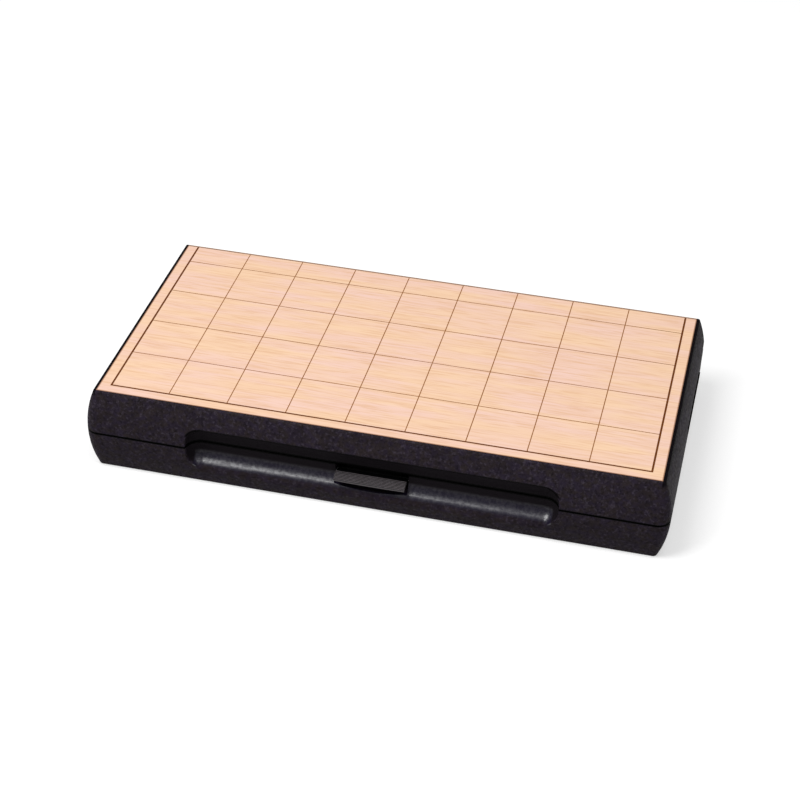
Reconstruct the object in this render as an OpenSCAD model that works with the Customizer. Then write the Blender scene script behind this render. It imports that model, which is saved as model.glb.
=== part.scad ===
// Folding shogi board: two hollow half cases hinged at the back, with half of the playing grid on each
// outer face, a finger groove and a latch in front, and the forty playing pieces in a foam tray inside.
// Length runs along X, the latch is at -Y, the hinge at +Y, and the closed board stands on z = 0.

/* [Playing face] */
// Size of one square of the grid
cell = 25.4; // [24.6:0.1:26]
// Blank margin between the outer grid line and the edge of the sheet
sheet_margin = 5; // [4:0.25:7]
// Thickness of the printed sheet
sheet_t = 0.3; // [0.25:0.05:0.5]
// Thickness of the steel plate under the sheet
plate_t = 0.4; // [0.3:0.05:0.8]
// Depth of the printed ink in the sheet
ink_t = 0.1; // [0.05:0.01:0.15]
// Width of the inner grid lines
line_w = 0.42; // [0.3:0.02:0.8]
// Width of the three outer border lines
border_w = 0.85; // [0.6:0.05:1.2]

/* [Half case] */
// Height of each half case
half_h = 19.2; // [18.6:0.1:22]
// Rim of plastic round the sheet
rim_w = 1.2; // [1.1:0.05:2]
// Rim of plastic between the sheet and the fold
fold_rim = 1.1; // [0.9:0.05:1.6]
// How far the barrel wall swells from the rim to the parting plane
bulge = 3.9; // [3:0.1:4.2]
// Wall thickness
wall = 2; // [1.8:0.1:2.4]
// Thickness of the back wall at the fold
back_wall = 2.4; // [2:0.1:3]
// Thickness of the floor under the steel plate
floor_t = 1.6; // [1.2:0.1:2.2]
// Plan radius of the sheet's corners
corner_r = 0.6; // [0.5:0.1:2]
// Rounding of the outer edge round the playing face
edge_r = 0.8; // [0.3:0.05:1]
// Rounding of the outer edge along the seam
seam_r = 0.3; // [0.2:0.05:0.6]

/* [Finger groove] */
// Length of the groove
groove_len = 159; // [140:1:170]
// Depth of the groove, and the radius of its rounded parts
groove_depth = 6.6; // [6:0.1:7]
// Height of the groove's upright back in each half
groove_flat = 2.7; // [2:0.1:3.4]
// Radius of the lip above the groove
upper_lip_r = 1.6; // [0.8:0.1:3]
// Radius of the soft lip below the groove
lower_lip_r = 5; // [2:0.1:6]
// Wall behind the groove
groove_wall = 1.7; // [1.4:0.1:2]

/* [Latch] */
// Width of the pocket in the lower half
pocket_w = 31.5; // [29:0.5:40]
// Depth of the pocket below the parting plane
pocket_h = 9.2; // [9:0.1:11]
// How much higher the pocket's floor lies at its sides than in the middle
pocket_bow = 1; // [0.6:0.1:1.4]
// Gap between the thumb pad and each side of the pocket
pad_gap = 0.65; // [0.6:0.05:1.3]
// Length of the pad's sloping face from front to back
pad_len = 4.5; // [4:0.1:5]
// Slope of that face, down to the front
pad_slope = 24; // [18:1:30]
// Thickness of the thumb pad
pad_t = 1.4; // [1.2:0.1:2]
// How much higher the pad's lower edge lies at its ends than in the middle
pad_bow = 0.4; // [0.2:0.05:0.6]
// How far the pad's front edge lies behind the widest plane of the case
pad_inset = 0.6; // [0.3:0.1:1.4]
// Depth of the pad's front edge below the parting plane
pad_drop = 4.1; // [3.6:0.1:4.8]
// Number of ribs on the pad
rib_count = 7; // [5:1:8]
// Radius of each rib
rib_r = 0.26; // [0.2:0.02:0.28]
// Width of the hook
hook_w = 24; // [18:0.5:25]
// Height of the hook above the parting plane
hook_rise = 3.2; // [3:0.1:3.6]
// Length of the hook's nose
nose = 1.4; // [1:0.1:1.6]
// Radius of the latch pin
latch_pin_r = 1; // [0.8:0.05:1.2]

/* [Hinge] */
// Radius of the hinge pins
hinge_pin_r = 1; // [0.8:0.05:1.3]
// Radius of the hinge knuckles
knuckle_r = 3; // [2.6:0.1:3.4]
// Length of each knuckle
knuckle_w = 7; // [5:0.5:9]
// Forward reach of the lid's side ears
ear_len = 13; // [10:0.5:16]
// How far the lid's side walls are drawn in at the fold
side_relief = 0.6; // [0.5:0.1:1.2]
// How far they are drawn in at the front end of that relief
relief_front = 0.5; // [0.3:0.05:0.9]
// Distance from the fold to where that relief runs out
relief_len = 66; // [40:1:90]
// Length over which the relief fades in at its front end
relief_run = 6; // [3:0.5:12]

/* [Playing pieces] */
// Length of a king from foot to tip
king_len = 22; // [20:0.1:22.6]
// Width of a king at its foot
king_w = 20.4; // [18:0.1:21]
// Thickness of a king at its foot
king_t = 6; // [5:0.1:7]
// Length of a pawn
pawn_len = 18; // [16:0.1:18.6]
// Width of a pawn at its foot
pawn_w = 15.6; // [14:0.1:17]
// Thickness of a pawn at its foot
pawn_t = 5; // [4.4:0.1:6]
// Radius of the magnets
magnet_r = 4; // [3:0.1:4.5]
// Thickness of the magnets
magnet_t = 1.5; // [1:0.1:2]

/* [Foam tray] */
// Thickness of the foam tray
tray_t = 5.4; // [5:0.1:6]
// Foam left under the pockets
tray_floor = 1.9; // [1.5:0.1:2.4]
// Width of the finger channel across each row of pockets
channel_w = 8; // [6:0.5:9]
// Depth of that channel
channel_depth = 2.4; // [1.5:0.1:3]

/* [Hidden] */

// Clearances
inlay_gap = 0.12;
seam_gap = 0.5;
fold_gap = 0.3;
swing_gap = 0.3;
end_gap = 0.25;
pin_press = 0.02;
pin_run = 0.06;
pocket_gap = 0.35;
tray_gap = 0.3;
locator_gap = 0.35;
air = 4;
lip_share = 0.98;

// Grid
columns = 9;
row_count = 4.5;
stack_t = sheet_t + plate_t;
sheet_w = columns * cell + 2 * sheet_margin;
sheet_d = row_count * cell + sheet_margin;

// Case in plan: the fold plane is the hinge axis, and the knuckles stand behind it
widest = rim_w + bulge;
depth = fold_rim + sheet_d + widest;
fold_y = (depth - knuckle_r) / 2;
sheet_back = fold_y - fold_rim;
sheet_front = sheet_back - sheet_d;
front_y = sheet_front - widest;
side_x = sheet_w / 2 + widest;
back_face = fold_y - fold_gap / 2;

// Barrel wall: one arc, upright at the parting plane
arc_r = (bulge ^ 2 + half_h ^ 2) / (2 * bulge);
cavity_h = half_h - stack_t - floor_t;

// Hinge along X: the lid has the knuckle at the end and the third one, the lower half the second
lid_end = side_x - side_relief;
knuckle_step = knuckle_w + end_gap;
lower_knuckle = lid_end - knuckle_step;
lid_inner = lower_knuckle - knuckle_step;
pin_set = 1;
pin_end = lid_end - pin_set;
pin_start = lid_inner - knuckle_w + pin_set;
ear_t = 2.6;
web_root = 0.6;
web_h = 6.6;

// Latch, measured from the front plane inwards and from the parting plane downwards
housing_wall = 1.8;
hook_in = 9.4;
hook_t = 1.6;
boss_r = latch_pin_r + 1;
pivot_in = hook_in + hook_t / 2;
pivot_down = 5.5;
arm_t = 1.3;
bow_lift = 0.1;
keeper_in = hook_in + hook_t + nose + swing_gap;
keeper_t = 2.2;
keeper_top = 0.9;
keeper_low = 1.6;
cheek_t = 1.8;
hook_room = 0.9;
pocket_depth = keeper_in + keeper_t + hook_room;
nose_t = 1.2;
lever_w = pocket_w - 2 * pad_gap;
bow_r = (pocket_w ^ 2 / 4 + pocket_bow ^ 2) / (2 * pocket_bow);
pad_bow_r = (lever_w ^ 2 / 4 + pad_bow ^ 2) / (2 * pad_bow);

// Locating tabs inside the rim
locator_h = 3;
locator_w = 12;
locator_t = 1.5;
locator_root = 6;
lower_locator_in = 16;
upper_locator_in = 30;
lower_locator_x = sheet_w / 2 - lower_locator_in;
upper_locator_x = sheet_w / 2 - upper_locator_in;

// Playing pieces: each kind's size lies a share of the way from the pawn's to the king's
function kind_len(share) = pawn_len + (king_len - pawn_len) * share;
function kind_w(share) = pawn_w + (king_w - pawn_w) * share;
function kind_t(share) = pawn_t + (king_t - pawn_t) * share;
king_share = 1;
major_share = 0.8;
general_share = 0.6;
knight_share = 0.4;
lance_share = 0.25;
pawn_share = 0;
shoulder_w_share = 0.8;
shoulder_y_share = 0.76;
tip_share = 0.62;

// Tray rows from the front: rooks and bishops, back rank, pawns, pawns, back rank
tray_z = stack_t + floor_t;
tray_half = sheet_w / 2 - tray_gap;
tray_front = sheet_front + tray_gap;
tray_back = fold_y - back_wall - tray_gap;
row_lengths = [kind_len(major_share), king_len, pawn_len, pawn_len, king_len];
row_total = row_lengths * [1, 1, 1, 1, 1];
row_gap = (tray_back - tray_front - row_total) / 6;
function row_start(k) = row_gap + (k < 1 ? tray_front : row_start(k - 1) + row_lengths[k - 1]);
function row_y(k) = row_start(k) + row_lengths[k] / 2;
piece_z = tray_z + tray_floor;

// Each place in the tray: column from the middle, row, and 1 or -1 for the way the tip points
king_places = [[0, 1, 1], [0, 4, -1]];
gold_places = [[-1, 1, 1], [1, 1, 1], [-1, 4, -1], [1, 4, -1]];
silver_places = [[-2, 1, 1], [2, 1, 1], [-2, 4, -1], [2, 4, -1]];
knight_places = [[-3, 1, 1], [3, 1, 1], [-3, 4, -1], [3, 4, -1]];
lance_places = [[-4, 1, 1], [4, 1, 1], [-4, 4, -1], [4, 4, -1]];
rook_places = [[-4, 0, 1], [4, 0, 1]];
bishop_places = [[-3, 0, 1], [3, 0, 1]];
pawn_places = [for (k = [2, 3], c = [-4:4]) [c, k, k == 2 ? 1 : -1]];

// Colours
shell_color = [0.16, 0.155, 0.165];
wood_color = [0.93, 0.78, 0.66];
ink_color = [0.42, 0.26, 0.15];
steel_color = [0.62, 0.63, 0.65];
foam_color = [0.12, 0.12, 0.13];
piece_color = [0.9, 0.74, 0.5];
magnet_color = [0.55, 0.55, 0.57];
pad_color = [0.4, 0.38, 0.39];

// Wall section. In the plane, x is outwards from the sheet's edge and y up from the parting plane
// towards the playing face.
function arc_center() = [widest - arc_r, 0];
function edge_center(v, r) = [widest - arc_r + sqrt((arc_r - r) ^ 2 - v ^ 2), v];

// What rounds an outer edge with radius r about a centre at height v
module edge_cut(v, up, r) {
    c = edge_center(v, r);
    out = (c - arc_center()) / norm(c - arc_center());
    reach = 3 * r;
    difference() {
        polygon([c, c + reach * out, c + [reach, up * reach * 2], c + [0, up * reach * 2]]);
        translate(c) circle(r = r, $fn = 32);
    }
}

module wall_section() {
    difference() {
        intersection() {
            translate([-air, 0]) square([air + widest, half_h]);
            translate(arc_center()) circle(r = arc_r, $fn = 360);
        }
        edge_cut(half_h - edge_r, 1, edge_r);
        edge_cut(seam_r, -1, seam_r);
    }
}

module inner_section() {
    intersection() {
        translate([-air, -1]) square([air + widest, cavity_h + 1]);
        translate(arc_center()) circle(r = arc_r - wall, $fn = 360);
    }
}

// Sweeps a wall section round the front and the two sides, and fills the middle
module swept(low, high) {
    cx = sheet_w / 2 - corner_r;
    cy = sheet_front + corner_r;
    translate([-cx, cy, low]) cube([2 * cx, fold_y - cy, high - low]);
    translate([-cx, cy, 0]) rotate([90, 0, 90]) linear_extrude(2 * cx)
        mirror([1, 0]) intersection() {
            translate([corner_r, 0]) children();
            translate([0, low]) square([widest + air, high - low]);
        }
    for (side = [-1, 1]) translate([side * cx, fold_y, 0]) rotate([90, 0, 0])
        linear_extrude(fold_y - cy) mirror([side < 0 ? 1 : 0, 0]) intersection() {
            translate([corner_r, 0]) children();
            translate([0, low]) square([widest + air, high - low]);
        }
    for (side = [-1, 1]) translate([side * cx, cy, 0]) rotate([0, 0, side < 0 ? 180 : 270])
        rotate_extrude(angle = 90, $fn = 96) intersection() {
            translate([corner_r, 0]) children();
            translate([0, low]) square([widest + air, high - low]);
        }
}

// Outer form of one half, standing on the parting plane, and the hollow inside it
module half_form() {
    difference() {
        swept(0, half_h) wall_section();
        translate([-side_x - 1, back_face, -1]) cube([2 * side_x + 2, 5, half_h + 2]);
    }
}

module half_hollow() {
    difference() {
        swept(-1, cavity_h) inner_section();
        translate([-side_x - 1, fold_y - back_wall, -2]) cube([2 * side_x + 2, 9, half_h + 4]);
    }
}

// Finger groove of one half. In its section, x is inwards from the front plane and y up from the
// parting plane: an upright back, a quarter round about the front plane, and a lip that runs out
// into the barrel wall.
function groove_center() = [0, groove_flat];
function lip_center(r) =
    let (to_wall = [arc_r, 0] - groove_center(), near = groove_depth + r, away = arc_r - r * lip_share,
         along = (near ^ 2 - away ^ 2 + to_wall * to_wall) / (2 * norm(to_wall)),
         ahead = to_wall / norm(to_wall))
    groove_center() + along * ahead + sqrt(near ^ 2 - along ^ 2) * [-ahead.y, ahead.x];

module groove_round(extra) {
    translate([-air, -1]) square([air + groove_depth + extra, groove_flat + 1]);
    translate(groove_center()) circle(r = groove_depth + extra, $fn = 96);
}

module groove_lip(r) {
    c = lip_center(r);
    top = c + (r + 2) * (c - [arc_r, 0]) / norm(c - [arc_r, 0]);
    difference() {
        polygon([groove_center(), c, top, [-air, top.y], [-air, groove_flat]]);
        translate(c) circle(r = r, $fn = 72);
    }
}

// Runs a section along the groove and turns it about an upright axis at each end
module along_groove() {
    end_x = groove_len / 2 - groove_depth;
    translate([-end_x, front_y, 0]) rotate([90, 0, 90]) linear_extrude(2 * end_x) children();
    for (side = [-1, 1]) translate([side * end_x, front_y, 0]) rotate_extrude($fn = 72)
        intersection() {
            children();
            translate([0, -1]) square([2 * groove_depth, half_h]);
        }
}

module groove(lip_r) {
    along_groove() {
        groove_round(0);
    }
    along_groove() {
        groove_lip(lip_r);
    }
}

module x_rod(x0, x1, y, z, r) {
    translate([x0, y, z]) rotate([0, 90, 0]) cylinder(r = r, h = x1 - x0, $fn = 64);
}

// Hollow half case, with what its children add, less the groove, the seat of the sheet and plate, and
// half the seam
module half_case(lip_r) {
    difference() {
        union() {
            difference() {
                half_form();
                half_hollow();
            }
            intersection() {
                half_form();
                union() {
                    along_groove() groove_round(groove_wall);
                    children();
                }
            }
        }
        groove(lip_r);
        translate([-sheet_w / 2 - inlay_gap, sheet_front - inlay_gap, half_h - stack_t])
            cube([sheet_w + 2 * inlay_gap, sheet_d + 2 * inlay_gap, stack_t + 1]);
        translate([-side_x - 1, front_y - 1, -1])
            cube([2 * side_x + 2, depth + 10, 1 + seam_gap / 2]);
    }
}

// Fins inside the front rim that enter the other half: they line up the halves, and the open board
// stands on them
module locators(x) {
    face = sheet_front - widest + wall + locator_gap;
    for (side = [-1, 1]) translate([side * x - locator_w / 2, face, -locator_h])
        cube([locator_w, locator_t, locator_h + locator_root]);
    for (side = [-1, 1]) translate([side * x - locator_w / 2, front_y + wall / 2, seam_gap / 2 + 1])
        cube([locator_w, wall / 2 + locator_gap + locator_t, locator_root - 1]);
}

// A pair of knuckles, one at each end of the fold, from x back to x - knuckle_w
module knuckle_pair(x) {
    for (side = [-1, 1]) mirror([side < 0 ? 1 : 0, 0, 0]) {
        x_rod(x - knuckle_w, x, fold_y, 0, knuckle_r);
        translate([x - knuckle_w, fold_y - back_wall - web_root, seam_gap / 2])
            cube([knuckle_w, back_wall, web_h]);
    }
}

// Room for a knuckle of the other half
module knuckle_room(x) {
    for (side = [-1, 1]) mirror([side < 0 ? 1 : 0, 0, 0])
        x_rod(x - knuckle_w - end_gap, x + end_gap, fold_y, 0, knuckle_r + swing_gap);
}

module pin_bores(clearance) {
    for (side = [-1, 1]) mirror([side < 0 ? 1 : 0, 0, 0])
        x_rod(pin_start - pin_set - end_gap, pin_end + end_gap / 2, fold_y, 0, hinge_pin_r + clearance);
}

// Side ears of the lid: they reach past the parting plane along the last stretch of the side wall, and
// are trimmed flush with it. The corner of the lower half below them is drawn in as far.
module ears() {
    difference() {
        for (side = [-1, 1]) mirror([side < 0 ? 1 : 0, 0, 0]) intersection() {
            translate([lid_end - ear_t, fold_y - ear_len - 1, -knuckle_r])
                cube([ear_t + side_relief + 1, ear_len + 1, knuckle_r * 2]);
            x_rod(lid_end - ear_t - 1, side_x + 2, fold_y, 0, ear_len);
        }
        relief_cut();
    }
}

module ear_room() {
    for (side = [-1, 1]) mirror([side < 0 ? 1 : 0, 0, 0])
        translate([lid_end - ear_t - end_gap, fold_y - ear_len - swing_gap, -1])
            cube([10, ear_len + 6, 1 + knuckle_r + swing_gap]);
}

// What is cut from the lid's sides: a long shallow relief that fades in at its front end
module relief_cut() {
    beyond = 2 * knuckle_r;
    slant = (side_relief - relief_front) / (relief_len - relief_run);
    for (side = [-1, 1]) mirror([side < 0 ? 1 : 0, 0, 0]) translate([0, 0, -2 * knuckle_r])
        linear_extrude(half_h + 4 * knuckle_r)
            polygon([[side_x, fold_y - relief_len], [side_x + air, fold_y - relief_len],
                     [side_x + air, fold_y + beyond], [side_x - side_relief - slant * beyond, fold_y + beyond],
                     [side_x - relief_front, fold_y - relief_len + relief_run]]);
}

module corner_relief() {
    intersection() {
        relief_cut();
        translate([-side_x - air, fold_y - ear_len - swing_gap, -air])
            cube([2 * (side_x + air), ear_len + knuckle_r, half_h + 2 * air]);
    }
}

module lower_place() {
    translate([0, 0, half_h]) mirror([0, 0, 1]) children();
}

module upper_place() {
    translate([0, 0, half_h]) children();
}

// Walls round the latch, with room round them if extra is above zero, and the pocket inside them with its
// bowed floor
module latch_housing(extra) {
    around = housing_wall + extra;
    translate([-pocket_w / 2 - around, front_y, 0])
        cube([pocket_w + 2 * around, pocket_depth + around, pocket_h + around]);
}

module latch_pocket() {
    intersection() {
        translate([-pocket_w / 2, front_y - 1, -1]) cube([pocket_w, pocket_depth + 1, pocket_h + 1]);
        translate([0, front_y - air, pocket_h - bow_r]) rotate([-90, 0, 0])
            cylinder(r = bow_r, h = pocket_depth + 2 * air, $fn = 256);
    }
}

module lower_shell() {
    color(shell_color) lower_place() difference() {
        union() {
            difference() {
                half_case(lower_lip_r) latch_housing(0);
                knuckle_room(lid_end);
                knuckle_room(lid_inner);
                ear_room();
                corner_relief();
            }
            knuckle_pair(lower_knuckle);
            locators(lower_locator_x);
        }
        latch_pocket();
        x_rod(-pocket_w, pocket_w, front_y + pivot_in, pivot_down, latch_pin_r + pin_press);
        pin_bores(pin_press);
    }
}

// Loop in the lid that the hook holds: two cheeks and a bar
module keeper() {
    cheek_x = pocket_w / 2 - end_gap - cheek_t;
    for (side = [-1, 1]) mirror([side < 0 ? 1 : 0, 0, 0])
        translate([cheek_x, front_y + keeper_in, -keeper_low])
            cube([cheek_t, keeper_t, keeper_low + cavity_h + floor_t / 2]);
    translate([-cheek_x, front_y + keeper_in, -keeper_low])
        cube([2 * cheek_x, keeper_t, keeper_low + keeper_top]);
}

module upper_shell() {
    color(shell_color) upper_place() difference() {
        union() {
            difference() {
                union() {
                    difference() {
                        half_case(upper_lip_r);
                        knuckle_room(lower_knuckle);
                    }
                    knuckle_pair(lid_end);
                    knuckle_pair(lid_inner);
                    keeper();
                    locators(upper_locator_x);
                }
                relief_cut();
            }
            ears();
        }
        pin_bores(pin_run);
    }
}

module sheet_blank(low, high) {
    translate([-sheet_w / 2, sheet_front, low]) cube([sheet_w, sheet_d, high - low]);
}

// Grid lines as flat strips in the outer skin of the sheet
module grid_lines(low, high) {
    grid_front = sheet_back - row_count * cell;
    for (k = [1:columns - 1])
        translate([(k - columns / 2) * cell - line_w / 2, grid_front, low])
            cube([line_w, sheet_back - grid_front, high - low]);
    for (k = [1:floor(row_count)])
        translate([-columns * cell / 2, grid_front + k * cell - line_w / 2, low])
            cube([columns * cell, line_w, high - low]);
    for (side = [-1, 1])
        translate([side * columns * cell / 2 - border_w / 2, grid_front - border_w / 2, low])
            cube([border_w, sheet_back - grid_front + border_w / 2, high - low]);
    translate([-columns * cell / 2, grid_front - border_w / 2, low])
        cube([columns * cell, border_w, high - low]);
}

module steel_plate() {
    color(steel_color) sheet_blank(half_h - stack_t, half_h - sheet_t);
}

module board_sheet() {
    color(wood_color) difference() {
        sheet_blank(half_h - sheet_t, half_h);
        grid_lines(half_h - ink_t, half_h + 1);
    }
}

module grid_print() {
    color(ink_color) grid_lines(half_h - ink_t, half_h);
}

module lower_steel_plate() {
    lower_place() steel_plate();
}

module upper_steel_plate() {
    upper_place() steel_plate();
}

module lower_board_sheet() {
    lower_place() board_sheet();
}

module upper_board_sheet() {
    upper_place() board_sheet();
}

module lower_grid_print() {
    lower_place() grid_print();
}

module upper_grid_print() {
    upper_place() grid_print();
}

module hinge_pins() {
    color(steel_color) for (side = [-1, 1]) mirror([side < 0 ? 1 : 0, 0, 0])
        x_rod(pin_start, pin_end, fold_y, half_h, hinge_pin_r);
}

module latch_pin() {
    reach = pocket_w / 2 + housing_wall;
    color(steel_color) x_rod(-reach, reach, front_y + pivot_in, half_h - pivot_down, latch_pin_r);
}

// Latch lever: ribbed thumb pad in front, arm, boss on the pin, and hook behind, all in one moulding.
// It is drawn with the parting plane at z = 0 and the pad in its pressed place, where the hook is clear
// of the keeper. In the plane, x is inwards from the front and y up.
function pad_front() = [pad_inset, -pad_drop];
function pad_back() = pad_front() + pad_len * [cos(pad_slope), sin(pad_slope)];
function pad_under() = pad_t * [sin(pad_slope), -cos(pad_slope)];
function rib_place(k) = pad_front() + (pad_back() - pad_front()) * (k + 0.5) / rib_count;

module lever_slice(width) {
    translate([-width / 2, front_y, 0]) rotate([90, 0, 90]) linear_extrude(width) children();
}

module lever_sections() {
    middle = (pad_front() + pad_back()) / 2;
    intersection() {
        lever_slice(lever_w) {
            polygon([pad_front(), pad_back(), pad_back() + pad_under(), pad_front() + pad_under()]);
        }
        translate([0, front_y - 1, (pad_front() + pad_under()).y + bow_lift + pad_bow_r]) rotate([-90, 0, 0])
            cylinder(r = pad_bow_r, h = 2 * pad_len, $fn = 256);
    }
    lever_slice(lever_w) {
        polygon([middle + pad_under() / 2, pad_back() + pad_under() / 2,
                 [pivot_in, -pivot_down + arm_t], [pivot_in, -pivot_down - arm_t / 2]]);
    }
    lever_slice(hook_w) {
        polygon([[hook_in, -pivot_down], [hook_in + hook_t, -pivot_down],
                 [hook_in + hook_t, hook_rise - nose_t], [hook_in + hook_t + nose, hook_rise - nose_t],
                 [hook_in + hook_t + nose, hook_rise - nose_t * 2 / 3], [hook_in + hook_t, hook_rise],
                 [hook_in, hook_rise]]);
    }
}

module latch_lever() {
    color(pad_color) translate([0, 0, half_h]) difference() {
        union() {
            lever_sections();
            for (k = [0:rib_count - 1])
                x_rod(-lever_w / 2, lever_w / 2, front_y + rib_place(k).x, rib_place(k).y, rib_r);
            x_rod(-lever_w / 2, lever_w / 2, front_y + pivot_in, -pivot_down, boss_r);
        }
        x_rod(-lever_w, lever_w, front_y + pivot_in, -pivot_down, latch_pin_r + pin_run);
    }
}

// Five-sided outline of a piece, foot at the bottom, centred on its length
module piece_outline(share, extra) {
    w = kind_w(share) / 2 + extra;
    l = kind_len(share);
    foot = -l / 2 - extra;
    polygon([[-w, foot], [w, foot], [w * shoulder_w_share, foot + l * shoulder_y_share], [0, l / 2 + extra],
             [-w * shoulder_w_share, foot + l * shoulder_y_share]]);
}

// A piece: the outline, thicker at the foot than at the tip, with a blind hole for its magnet
module piece(share) {
    l = kind_len(share);
    t = kind_t(share);
    slope = atan(t * (1 - tip_share) / l);
    difference() {
        linear_extrude(t) piece_outline(share, 0);
        translate([-l, -l / 2, t]) rotate([-slope, 0, 0]) cube([2 * l, 2 * l, t]);
        translate([0, 0, -1]) cylinder(r = magnet_r + pin_run, h = magnet_t + 1, $fn = 48);
    }
}

module at_places(places) {
    for (p = places) translate([p[0] * cell, row_y(p[1]), piece_z]) rotate([0, 0, p[2] > 0 ? 0 : 180])
        children();
}

module pockets(places, share) {
    at_places(places) linear_extrude(tray_t) piece_outline(share, pocket_gap);
}

module piece_tray() {
    color(foam_color) difference() {
        translate([-tray_half, tray_front, tray_z])
            cube([2 * tray_half, tray_back - tray_front, tray_t]);
        pockets(king_places, king_share);
        pockets(rook_places, major_share);
        pockets(bishop_places, major_share);
        pockets(gold_places, general_share);
        pockets(silver_places, general_share);
        pockets(knight_places, knight_share);
        pockets(lance_places, lance_share);
        pockets(pawn_places, pawn_share);
        for (k = [1:4]) translate([-4.4 * cell, row_y(k) - channel_w / 2, tray_z + tray_t - channel_depth])
            cube([8.8 * cell, channel_w, channel_depth + 1]);
        for (side = [-1, 1]) translate([side * 3.5 * cell - 0.9 * cell, row_y(0) - channel_w / 2,
                                        tray_z + tray_t - channel_depth])
            cube([1.8 * cell, channel_w, channel_depth + 1]);
        lower_place() latch_housing(tray_gap);
    }
}

module kings() {
    color(piece_color) at_places(king_places) piece(king_share);
}

module rooks() {
    color(piece_color) at_places(rook_places) piece(major_share);
}

module bishops() {
    color(piece_color) at_places(bishop_places) piece(major_share);
}

module gold_generals() {
    color(piece_color) at_places(gold_places) piece(general_share);
}

module silver_generals() {
    color(piece_color) at_places(silver_places) piece(general_share);
}

module knights() {
    color(piece_color) at_places(knight_places) piece(knight_share);
}

module lances() {
    color(piece_color) at_places(lance_places) piece(lance_share);
}

module pawns() {
    color(piece_color) at_places(pawn_places) piece(pawn_share);
}

module piece_magnets() {
    color(magnet_color) at_places(concat(king_places, rook_places, bishop_places, gold_places,
                                         silver_places, knight_places, lance_places, pawn_places))
        cylinder(r = magnet_r, h = magnet_t, $fn = 48);
}

lower_shell();
upper_shell();
lower_steel_plate();
upper_steel_plate();
lower_board_sheet();
upper_board_sheet();
lower_grid_print();
upper_grid_print();
hinge_pins();
latch_lever();
latch_pin();
piece_tray();
kings();
rooks();
bishops();
gold_generals();
silver_generals();
knights();
lances();
pawns();
piece_magnets();
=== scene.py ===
import math

import bpy
from mathutils import Matrix, Vector


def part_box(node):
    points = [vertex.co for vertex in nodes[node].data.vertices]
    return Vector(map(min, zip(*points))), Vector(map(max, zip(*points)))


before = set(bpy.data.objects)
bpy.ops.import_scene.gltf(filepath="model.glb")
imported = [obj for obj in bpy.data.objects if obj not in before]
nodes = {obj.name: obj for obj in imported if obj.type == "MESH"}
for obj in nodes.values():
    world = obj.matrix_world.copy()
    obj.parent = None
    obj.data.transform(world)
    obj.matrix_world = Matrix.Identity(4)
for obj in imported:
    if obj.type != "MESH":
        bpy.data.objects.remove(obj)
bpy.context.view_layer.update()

scene = bpy.context.scene

# Sizes in metres: the printed grid as in the part's source, the rest read from the frame
MM = 0.001
CELL = 25.4 * MM
COLUMNS = 9
SHEET_MARGIN = 5 * MM
SHEET_LOW, SHEET_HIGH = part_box("upper_board_sheet")
CASE_LOW, CASE_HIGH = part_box("upper_shell")
TOP = SHEET_HIGH.z
SEAM_Z = TOP / 2
FRONT_Y = CASE_LOW.y
GRID_HALF_WIDTH = COLUMNS * CELL / 2
GRID_FRONT_Y = SHEET_LOW.y + SHEET_MARGIN


def srgb(r, g, b):
    """Linear colour for a colour written as it is seen, 0 to 255."""
    def lift(v):
        v /= 255
        return v / 12.92 if v <= 0.04045 else ((v + 0.055) / 1.055) ** 2.4
    return (lift(r), lift(g), lift(b), 1.0)


def edge(at, start, end):
    """The two values between which a mask fades: start and end are millimetres beyond at."""
    return at + start * MM, at + end * MM


# Camera

# Where the camera stands, counted in columns of the grid from the front left corner of the grid
EYE_COLUMNS = (10.309, -23.512, 18.263)
EYE_DOWN = 36.18
EYE_TURN = 12.93
EYE_ROLL = 1.24
LENS_PIXELS = 1878.66
FRAME_PIXELS = 800
SENSOR = 36
CLIP_START = 0.05
CLIP_END = 20


def make_camera():
    """The camera that was fitted to the photographed grid."""
    data = bpy.data.cameras.new("camera")
    camera = bpy.data.objects.new("camera", data)
    scene.collection.objects.link(camera)
    data.sensor_width = SENSOR
    data.lens = LENS_PIXELS * SENSOR / FRAME_PIXELS
    data.clip_start = CLIP_START
    data.clip_end = CLIP_END
    corner = Vector((-GRID_HALF_WIDTH, GRID_FRONT_Y, TOP))
    place = corner + CELL * Vector(EYE_COLUMNS)
    turn = Matrix.Rotation(math.radians(EYE_TURN), 4, "Z")
    tilt = Matrix.Rotation(math.radians(90 - EYE_DOWN), 4, "X")
    roll = Matrix.Rotation(math.radians(EYE_ROLL), 4, "Z")
    camera.matrix_world = Matrix.Translation(place) @ turn @ tilt @ roll
    scene.camera = camera


# Node graphs

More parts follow.
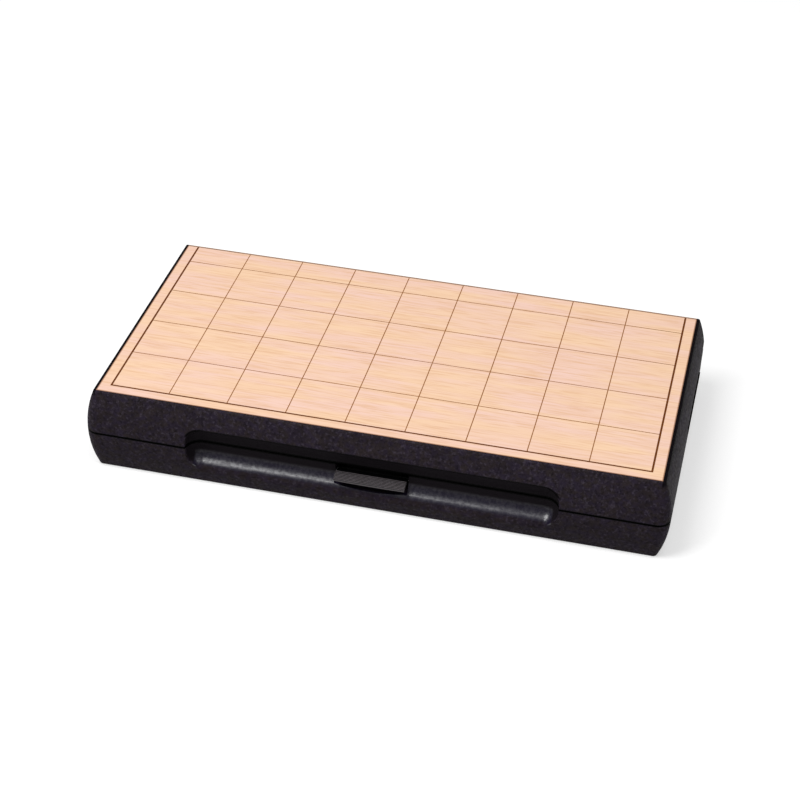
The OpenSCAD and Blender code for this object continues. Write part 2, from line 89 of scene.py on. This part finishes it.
class Graph:
    """One material or world, and short ways to add nodes to it.

    An input is a plain value or another node's output.
    """

    def __init__(self, data):
        data.use_nodes = True
        self.data = data
        self.tree = data.node_tree
        self.tree.nodes.clear()

    def fill(self, socket, value):
        """Links an output to a socket, or writes a plain value on it."""
        if isinstance(value, bpy.types.NodeSocket):
            self.tree.links.new(value, socket)
        else:
            socket.default_value = value

    def add(self, kind, inputs=None, **properties):
        made = self.tree.nodes.new("ShaderNode" + kind)
        for name, value in properties.items():
            setattr(made, name, value)
        for name, value in (inputs or {}).items():
            self.fill(made.inputs[name], value)
        return made

    def math(self, operation, a, b=0.0):
        return self.add("Math", {0: a, 1: b}, operation=operation).outputs[0]

    def minus(self, a, b):
        return self.math("SUBTRACT", a, b)

    def times(self, a, b):
        return self.math("MULTIPLY", a, b)

    def larger(self, a, b):
        return self.math("MAXIMUM", a, b)

    def unsigned(self, a):
        return self.math("ABSOLUTE", a)

    def length(self, a, b):
        """The long side of a right triangle with the sides a and b."""
        return self.math("SQRT", self.math("ADD", self.times(a, a), self.times(b, b)))

    def place(self):
        """Where a point lies on the object, in metres."""
        return self.add("TexCoord").outputs["Object"]

    def axes(self, place):
        """The X, Y and Z of a place."""
        return self.add("SeparateXYZ", {0: place}).outputs

    def stretched(self, place, scales):
        """The same place with each axis scaled on its own."""
        return self.add("Mapping", {"Vector": place, "Scale": scales}).outputs[0]

    def noise(self, place, scale, detail, roughness):
        """Soft noise, about scale features to a metre."""
        values = {"Vector": place, "Scale": scale, "Detail": detail, "Roughness": roughness}
        return self.add("TexNoise", values).outputs["Fac"]

    def streaks(self, place, scales, detail, roughness):
        """Noise with a scale of its own along each axis."""
        return self.noise(self.stretched(place, scales), 1, detail, roughness)

    def cells(self, place, scale):
        """How far a point lies from the middle of its cell, about scale cells to a metre."""
        return self.add("TexVoronoi", {"Vector": place, "Scale": scale}).outputs["Distance"]

    def blend(self, factor, first, second):
        """A colour between two colours."""
        mixer = self.add("Mix", data_type="RGBA")
        for index, value in ((0, factor), (6, first), (7, second)):
            self.fill(mixer.inputs[index], value)
        return mixer.outputs[2]

    def layers(self, color, *layers):
        """Lays further colours over a colour, each by its factor."""
        for factor, over in layers:
            color = self.blend(factor, color, over)
        return color

    def step(self, value, low, high, start=0.0, end=1.0):
        """Goes smoothly from start to end while value goes from low to high."""
        values = {"Value": value, "From Min": low, "From Max": high, "To Min": start, "To Max": end}
        return self.add("MapRange", values, interpolation_type="SMOOTHSTEP").outputs[0]

    def rise(self, value, fade):
        """0 before an edge and 1 beyond it."""
        return self.step(value, *fade)

    def fall(self, value, fade):
        """1 before an edge and 0 beyond it."""
        return self.step(value, *fade, 1.0, 0.0)

    def bump(self, height, distance, strength):
        values = {"Height": height, "Distance": distance, "Strength": strength}
        return self.add("Bump", values).outputs[0]

    def surface(self, **inputs):
        """The shader that ends the graph. Underscores in a name stand for spaces."""
        named = {name.replace("_", " "): value for name, value in inputs.items()}
        self.end(self.add("BsdfPrincipled", named).outputs[0])
        return self.data

    def end(self, shader):
        kind = "OutputWorld" if isinstance(self.data, bpy.types.World) else "OutputMaterial"
        self.add(kind, {"Surface": shader})


def material_graph(name):
    return Graph(bpy.data.materials.new(name))


# Stage and light

WHITE = (1, 1, 1, 1)
FLOOR_SIZE = 12
FLOOR_PAINT = (0.62, 0.62, 0.62, 1)
FLOOR_GLOW = 0.5
ROOM_LIGHT = 0.2
BACKDROP_LIGHT = 1.0

# Azimuth is counted from -Y to the right, in degrees as elevation is
SOFTBOXES = {
    "key": {"azimuth": -48, "elevation": 60, "distance": 2.2, "size": (0.7, 1.4), "radiance": 10.9},
    "fill": {"azimuth": 45, "elevation": 72, "distance": 2.2, "size": (0.9, 0.9), "radiance": 5.1},
}


def seen_directly(graph):
    """1 for what is seen straight on, in a reflection or through glass, otherwise 0."""
    path = graph.add("LightPath").outputs
    mirrored = graph.larger(path["Is Glossy Ray"], path["Is Transmission Ray"])
    return graph.larger(path["Is Camera Ray"], mirrored)


def make_floor():
    """A pale floor that keeps the object's shadow."""
    bpy.ops.mesh.primitive_plane_add(size=FLOOR_SIZE)
    floor = bpy.context.object
    floor.name = "floor"
    graph = material_graph("floor")
    paint = graph.add("BsdfDiffuse", {"Color": FLOOR_PAINT})
    glow = graph.add("Emission", {"Strength": graph.times(seen_directly(graph), FLOOR_GLOW)})
    both = graph.add("AddShader", {0: paint.outputs[0], 1: glow.outputs[0]})
    graph.end(both.outputs[0])
    floor.data.materials.append(graph.data)


def make_softbox(name, azimuth, elevation, distance, size, radiance):
    """A lit panel that faces the object."""
    data = bpy.data.lights.new(name, "AREA")
    data.shape = "RECTANGLE"
    data.size, data.size_y = size
    data.energy = radiance * math.pi * size[0] * size[1]
    lamp = bpy.data.objects.new(name, data)
    scene.collection.objects.link(lamp)
    turn = Matrix.Rotation(math.radians(azimuth), 4, "Z")
    tilt = Matrix.Rotation(math.radians(90 - elevation), 4, "X")
    lamp.matrix_world = turn @ tilt @ Matrix.Translation((0, 0, distance))


def make_room():
    """Dim light from all round, seen as a white backdrop."""
    world = bpy.data.worlds.new("studio")
    scene.world = world
    graph = Graph(world)
    room = graph.add("Background", {"Color": WHITE, "Strength": ROOM_LIGHT}).outputs[0]
    seen = graph.add("Background", {"Color": WHITE, "Strength": BACKDROP_LIGHT}).outputs[0]
    camera_ray = graph.add("LightPath").outputs["Is Camera Ray"]
    graph.end(graph.add("MixShader", {0: camera_ray, 1: room, 2: seen}).outputs[0])


# Places on the case

# The finger groove, as in the part's source
GROOVE_REACH = 79.5 * MM
GROOVE_DEPTH = 6.6 * MM
GROOVE_FLAT = 2.7 * MM

# Off the groove's surface
GROOVE_SKIN = edge(0, 0.15, 0.7)
RUBBED_AND_TINT_SKIN = edge(0, 0.5, 1.2)
LIP_SHADE_SKIN = edge(0, 0.5, 1.0)

# Behind the front of the case
GROOVE_MOUTH = edge(0, 0.9, 1.9)

# Beyond the straight part of the groove
RUBBED_AND_TINT_END = edge(0, 3.1, 4.2)

# Under the parting plane, or above it where negative
# The rubbed, shiny stretch of the groove's floor also carries a painted reflection tint
RUBBED_AND_TINT_FROM = edge(0, 3.6, 6.4)
RUBBED_AND_TINT_TO = edge(0, 8.6, 10.2)
LIP_SHADE_BELOW = edge(0, -6.5, -5.0)

# How far from the parting plane the painted shade of the seam reaches, and how much further it does
# in places
SEAM_EDGE = edge(0, 0.42, 0.75)
SEAM_GROOVE_EXTRA = 0.3 * MM
SEAM_SIDE_EXTRA = 0.6 * MM
SEAM_SIDE = edge(CASE_HIGH.x, -2.2, -0.9)

# The rims. Both playing faces lie at the distance SEAM_Z from the parting plane
SIDE_RIM_OUTSIDE = edge(SHEET_HIGH.x, -0.2, 0.1)
SIDE_RIM_LEVEL = edge(SEAM_Z, -2.6, -1.0)
FOLD_RIM_BEHIND = edge(SHEET_HIGH.y, -0.2, 0)
FOLD_RIM_BETWEEN = edge(SHEET_HIGH.x, -0.2, 0)
FOLD_RIM_LEVEL = edge(SEAM_Z, -0.35, -0.2)
# Where the painted shade of the lower half fades out
LOWER_SHADE_EDGE = edge(SEAM_Z, -9, 1)


class CasePlaces:
    """Masks for the places on the case that look different. Each is 1 in its place, else 0."""

    def __init__(self, graph, place):
        self.graph = graph
        self.axes = graph.axes(place)
        self.from_middle = graph.unsigned(self.axes[0])
        self.from_seam = graph.unsigned(graph.minus(self.axes[2], SEAM_Z))

    def groove(self):
        """The finger groove, the stretch of its floor that is rubbed shiny and carries a painted
        reflection tint, and the painted shade along its upper lip.

        A point is in the groove when it lies close to the surface of a quarter round that is
        swept along the front and turned about an upright axis at each end.
        """
        graph = self.graph
        beyond = graph.minus(self.from_middle, GROOVE_REACH - GROOVE_DEPTH)
        sideways = graph.larger(beyond, 0.0)
        inwards = graph.minus(self.axes[1], FRONT_Y)
        upright = graph.larger(graph.minus(self.from_seam, GROOVE_FLAT), 0.0)
        reach = graph.length(graph.length(sideways, inwards), upright)
        off = graph.unsigned(graph.minus(reach, GROOVE_DEPTH))
        below = graph.minus(SEAM_Z, self.axes[2])
        groove = graph.times(graph.fall(off, GROOVE_SKIN), graph.rise(inwards, GROOVE_MOUTH))
        shiny = graph.times(graph.rise(below, RUBBED_AND_TINT_FROM), graph.fall(below, RUBBED_AND_TINT_TO))
        shiny = graph.times(shiny, graph.fall(sideways, RUBBED_AND_TINT_END))
        rubbed_and_tint = graph.times(graph.fall(off, RUBBED_AND_TINT_SKIN), shiny)
        # Painted shade along the groove's upper lip
        lip_shade = graph.times(graph.fall(off, LIP_SHADE_SKIN), graph.fall(below, LIP_SHADE_BELOW))
        return groove, rubbed_and_tint, lip_shade

    def seam(self, groove):
        """Painted shade along the parting plane, wider in the finger groove and at the sides."""
        graph = self.graph
        off = graph.minus(self.from_seam, graph.times(groove, SEAM_GROOVE_EXTRA))
        side = graph.rise(self.from_middle, SEAM_SIDE)
        off = graph.minus(off, graph.times(side, SEAM_SIDE_EXTRA))
        return graph.fall(off, SEAM_EDGE)

    def side_rim_shade(self):
        """The rim at both ends of a playing sheet, and the start of the wall under it, where
        painted shade goes.
        """
        outside = self.graph.rise(self.from_middle, SIDE_RIM_OUTSIDE)
        return self.graph.times(outside, self.graph.rise(self.from_seam, SIDE_RIM_LEVEL))

    def fold_rim(self):
        """The rim at the fold, which the laminate of the playing sheet covers."""
        graph = self.graph
        behind = graph.rise(self.axes[1], FOLD_RIM_BEHIND)
        between = graph.fall(self.from_middle, FOLD_RIM_BETWEEN)
        level = graph.rise(self.from_seam, FOLD_RIM_LEVEL)
        return graph.times(level, graph.times(behind, between))

    def lower_wall_shade(self):
        """Painted shade on the lower wall, darker and browner, fading out over the last centimetre
        towards the parting plane.
        """
        return self.graph.fall(self.axes[2], LOWER_SHADE_EDGE)


# Materials

CASE_BROWN = srgb(47, 40, 42)
CASE_MAUVE = srgb(45, 38, 51)
CASE_BLOTCH = srgb(31, 26, 30)
# Painted glints: lighter specks standing in for highlights on the grain
CASE_PAINTED_GLINT = srgb(72, 65, 77)
CASE_PIT = srgb(15, 12, 15)
# Painted shade: the lower half darker and browner
CASE_LOWER_SHADE = srgb(20, 10, 8)
# Painted shade: the side rims near black
CASE_RIM_SHADE = srgb(6, 4, 5)
FOLD_LAMINATE = srgb(160, 126, 104)
# The groove's colour: darker for its smooth finish and for painted shade in the recess
GROOVE_SMOOTH_AND_SHADE = srgb(27, 23, 27)
# Painted reflection tint: bluish colour on the shiny stretch of the groove's floor
GROOVE_REFLECTION_TINT = srgb(24, 18, 38)
# Painted shade along the groove's upper lip
GROOVE_LIP_SHADE = srgb(3, 2, 3)
# Painted shade in the seam between the shells
SEAM_SHADE = srgb(3, 3, 3)
LOWER_SHADE_SHARE = 0.14
RIM_SHADE_SHARE = 0.85
SPECK_RELIEF = 0.8
GROOVE_SMOOTHNESS = 0.7


def case_plastic():
    """Black moulded plastic: grained outside, smooth in the finger groove, shiny at its floor, with
    painted glints and painted shade on it and a painted reflection tint in the groove.
    """
    graph = material_graph("case_plastic")
    place = graph.place()
    places = CasePlaces(graph, place)
    groove, rubbed_and_tint, lip_shade = places.groove()
    grain = graph.noise(place, 900, 3, 0.6)
    speck = graph.noise(place, 760, 2, 0.6)
    blotch = graph.noise(place, 190, 2, 0.5)
    hue = graph.noise(graph.stretched(place, (1, 1, 1.3)), 330, 1, 0.5)
    color = graph.layers(
        graph.blend(graph.step(hue, 0.35, 0.65), CASE_BROWN, CASE_MAUVE),
        (graph.step(blotch, 0.3, 0.7, end=0.5), CASE_BLOTCH),
        # Painted glints: lighter specks where the grain would catch highlights
        (graph.step(speck, 0.5, 0.72, end=0.6), CASE_PAINTED_GLINT),
        (graph.step(grain, 0.45, 0.75, end=0.7), CASE_PIT),
        # Painted shade: the lower half darker and browner towards the bottom
        (graph.times(places.lower_wall_shade(), LOWER_SHADE_SHARE), CASE_LOWER_SHADE),
        # Painted shade: the side rims and the top of the wall under them near black
        (graph.times(places.side_rim_shade(), RIM_SHADE_SHARE), CASE_RIM_SHADE),
        (places.fold_rim(), FOLD_LAMINATE),
        # The groove darker: partly its smooth finish, partly painted shade in the recess
        (groove, GROOVE_SMOOTH_AND_SHADE),
        # Painted reflection tint on the rubbed, shiny stretch of the groove's floor
        (rubbed_and_tint, GROOVE_REFLECTION_TINT),
        # Painted shade along the groove's upper lip, where the overhang darkens it
        (lip_shade, GROOVE_LIP_SHADE),
        # Painted shade in the gap between the shells
        (places.seam(groove), SEAM_SHADE),
    )
    height = graph.math("ADD", grain, graph.times(speck, SPECK_RELIEF))
    rough = graph.minus(1.0, graph.times(groove, GROOVE_SMOOTHNESS))
    shine = graph.times(rubbed_and_tint, graph.step(speck, 0.35, 0.65, start=0.5))
    return graph.surface(
        Base_Color=color, Roughness=graph.step(grain, 0.3, 0.7, start=0.5, end=0.68),
        IOR=1.3, Specular_IOR_Level=0.08, Coat_Weight=shine, Coat_Roughness=0.32, Coat_IOR=1.75,
        Normal=graph.bump(graph.times(height, rough), distance=0.08 * MM, strength=0.7))


WOOD_PINK = srgb(249, 211, 196)
WOOD_YELLOW = srgb(252, 214, 179)
WOOD_BAND = srgb(246, 205, 174)
WOOD_STREAK = srgb(234, 188, 151)
WOOD_EDGE_BROWN = srgb(128, 74, 40)
BROWN_EDGE_SIDE = edge(SHEET_HIGH.x, -0.55, -0.2)
BROWN_EDGE_FRONT = edge(SHEET_LOW.y, 0.2, 0.6)
BROWN_EDGE_SHARE = 0.75


def wood_print():
    """Pale straight-grained wood printed on paper, matt laminated, browner along its side and front
    edges.
    """
    graph = material_graph("wood_print")
    place = graph.place()
    streak = graph.streaks(place, (60, 1050, 100), 3, 0.65)
    band = graph.streaks(place, (20, 330, 60), 2, 0.5)
    tint = graph.streaks(place, (20, 130, 30), 2, 0.5)
    axes = graph.axes(place)
    side = graph.rise(graph.unsigned(axes[0]), BROWN_EDGE_SIDE)
    front = graph.fall(axes[1], BROWN_EDGE_FRONT)
    color = graph.layers(
        graph.blend(graph.step(tint, 0.34, 0.66), WOOD_PINK, WOOD_YELLOW),
        (graph.step(band, 0.3, 0.7, end=0.45), WOOD_BAND),
        (graph.step(streak, 0.42, 0.72, end=0.8), WOOD_STREAK),
        (graph.times(graph.larger(side, front), BROWN_EDGE_SHARE), WOOD_EDGE_BROWN),
    )
    return graph.surface(Base_Color=color, Roughness=0.5, Specular_IOR_Level=0.2,
                         Normal=graph.bump(streak, distance=0.01 * MM, strength=0.3))


INK_THIN = srgb(140, 86, 40), srgb(160, 104, 52)
INK_BORDER = srgb(100, 50, 10), srgb(118, 64, 18)
BORDER_SIDE = edge(GRID_HALF_WIDTH, -0.7, -0.5)
BORDER_FRONT = edge(GRID_FRONT_Y, 0.5, 0.7)


def brown_ink():
    """Printed lines: thin ones in light brown ink, and a darker border on three sides."""
    graph = material_graph("brown_ink")
    place = graph.place()
    patch = graph.noise(place, 400, 2, 0.5)
    axes = graph.axes(place)
    at_side = graph.rise(graph.unsigned(axes[0]), BORDER_SIDE)
    at_front = graph.fall(axes[1], BORDER_FRONT)
    color = graph.blend(graph.larger(at_side, at_front), graph.blend(patch, *INK_THIN),
                        graph.blend(patch, *INK_BORDER))
    return graph.surface(Base_Color=color, Roughness=0.5, Specular_IOR_Level=0.2)


ZINC = srgb(176, 178, 182), srgb(150, 152, 158)


def zinc_steel():
    """Brushed sheet steel with the flat crystals of its zinc."""
    graph = material_graph("zinc_steel")
    place = graph.place()
    brushed = graph.streaks(place, (60, 2500, 2500), 3, 0.6)
    color = graph.blend(graph.step(graph.cells(place, 160), 0.1, 0.8), *ZINC)
    roughness = graph.step(brushed, 0.3, 0.7, start=0.25, end=0.42)
    return graph.surface(Base_Color=color, Metallic=1.0, Roughness=roughness,
                         Normal=graph.bump(brushed, distance=0.01 * MM, strength=0.4))


WIRE = srgb(168, 168, 172), srgb(196, 196, 200)


def drawn_steel():
    """Wire with fine lines along it."""
    graph = material_graph("drawn_steel")
    lines = graph.streaks(graph.place(), (40, 3000, 3000), 3, 0.6)
    return graph.surface(Base_Color=graph.blend(lines, *WIRE), Metallic=1.0,
                         Roughness=graph.step(lines, 0.3, 0.7, start=0.2, end=0.4))


# The ribbed pad of the latch, as in the part's source
PAD_INSET = 0.6 * MM
PAD_LENGTH = 4.5 * MM
PAD_SLOPE = 24
RIB_COUNT = 7
RIB_STEP = PAD_LENGTH * math.cos(math.radians(PAD_SLOPE)) / RIB_COUNT
PAD_END = edge(FRONT_Y, 4.6, 5.4)
# Painted highlight: the pad's grey stands in for light on its ribs
PAD_PAINTED_HIGHLIGHT = srgb(78, 72, 75), srgb(100, 94, 97)
# Painted shade between the ribs
RIB_GAP_SHADE = srgb(22, 20, 22)
# Painted shade: the lever behind the pad near black
LEVER_SHADE_BLACK = srgb(8, 8, 9)


def latch_plastic():
    """Black lever whose ribbed pad is painted grey as highlights on its ribs, with painted shade
    between the ribs and deep painted shade on the rest.
    """
    graph = material_graph("latch_plastic")
    place = graph.place()
    grain = graph.noise(place, 1200, 3, 0.6)
    inwards = graph.axes(place)[1]
    ribs = graph.math("DIVIDE", graph.minus(inwards, FRONT_Y + PAD_INSET), RIB_STEP)
    from_rib = graph.unsigned(graph.minus(graph.math("FRACT", ribs), 0.5))
    # Painted highlight on the ribs and painted shade between them
    pad_highlight = graph.layers(graph.blend(graph.step(grain, 0.3, 0.7), *PAD_PAINTED_HIGHLIGHT),
                        (graph.step(from_rib, 0.2, 0.46, end=0.95), RIB_GAP_SHADE))
    # Painted shade: the lever beyond the pad near black, standing for the shade in its pocket
    color = graph.blend(graph.fall(inwards, PAD_END), LEVER_SHADE_BLACK, pad_highlight)
    return graph.surface(Base_Color=color, Roughness=0.5, Specular_IOR_Level=0.2,
                         Normal=graph.bump(grain, distance=0.03 * MM, strength=0.5))


FOAM = srgb(30, 30, 32), srgb(52, 52, 55)
FOAM_PATCH = srgb(62, 61, 64)


def black_foam():
    """Closed-cell foam with cut bubbles."""
    graph = material_graph("black_foam")
    place = graph.place()
    bubble = graph.cells(place, 1400)
    patch = graph.noise(place, 120, 3, 0.6)
    color = graph.layers(graph.blend(graph.step(bubble, 0.1, 0.7), *FOAM),
                         (graph.step(patch, 0.3, 0.8, end=0.4), FOAM_PATCH))
    return graph.surface(Base_Color=color, Roughness=0.9, Specular_IOR_Level=0.1,
                         Normal=graph.bump(bubble, distance=0.25 * MM, strength=0.9))


BOXWOOD = srgb(240, 212, 162), srgb(226, 192, 136)
BOXWOOD_CLOUD = srgb(244, 214, 160)


def piece_plastic():
    """Boxwood-coloured plastic with a faint moulded grain along each piece."""
    graph = material_graph("piece_plastic")
    place = graph.place()
    grain = graph.streaks(place, (700, 30, 700), 3, 0.6)
    cloud = graph.noise(place, 90, 2, 0.5)
    color = graph.layers(graph.blend(graph.step(grain, 0.35, 0.75), *BOXWOOD),
                         (graph.step(cloud, 0.3, 0.7, end=0.5), BOXWOOD_CLOUD))
    return graph.surface(Base_Color=color, Roughness=0.34, Specular_IOR_Level=0.4,
                         Subsurface_Weight=0.05, Subsurface_Scale=1 * MM,
                         Normal=graph.bump(grain, distance=0.02 * MM, strength=0.3))


FERRITE = srgb(48, 48, 52), srgb(92, 92, 97)


def ferrite():
    """Gritty sintered ferrite."""
    graph = material_graph("ferrite")
    grit = graph.noise(graph.place(), 2500, 3, 0.7)
    return graph.surface(Base_Color=graph.blend(grit, *FERRITE), Roughness=0.6,
                         Normal=graph.bump(grit, distance=0.04 * MM, strength=0.6))


FINISHES = (
    (case_plastic, ("lower_shell", "upper_shell")),
    (wood_print, ("lower_board_sheet", "upper_board_sheet")),
    (brown_ink, ("lower_grid_print", "upper_grid_print")),
    (zinc_steel, ("lower_steel_plate", "upper_steel_plate")),
    (drawn_steel, ("hinge_pins", "latch_pin")),
    (latch_plastic, ("latch_lever",)),
    (black_foam, ("piece_tray",)),
    (ferrite, ("piece_magnets",)),
    (piece_plastic, ("kings", "rooks", "bishops", "gold_generals", "silver_generals",
                     "knights", "lances", "pawns")),
)


def dress():
    """Gives each node of the frame its material."""
    for make, names in FINISHES:
        finish = make()
        for name in names:
            materials = nodes[name].data.materials
            materials.clear()
            materials.append(finish)


scene.view_settings.view_transform = "Standard"
make_camera()
make_floor()
make_room()
for softbox, values in SOFTBOXES.items():
    make_softbox(softbox, **values)
dress()
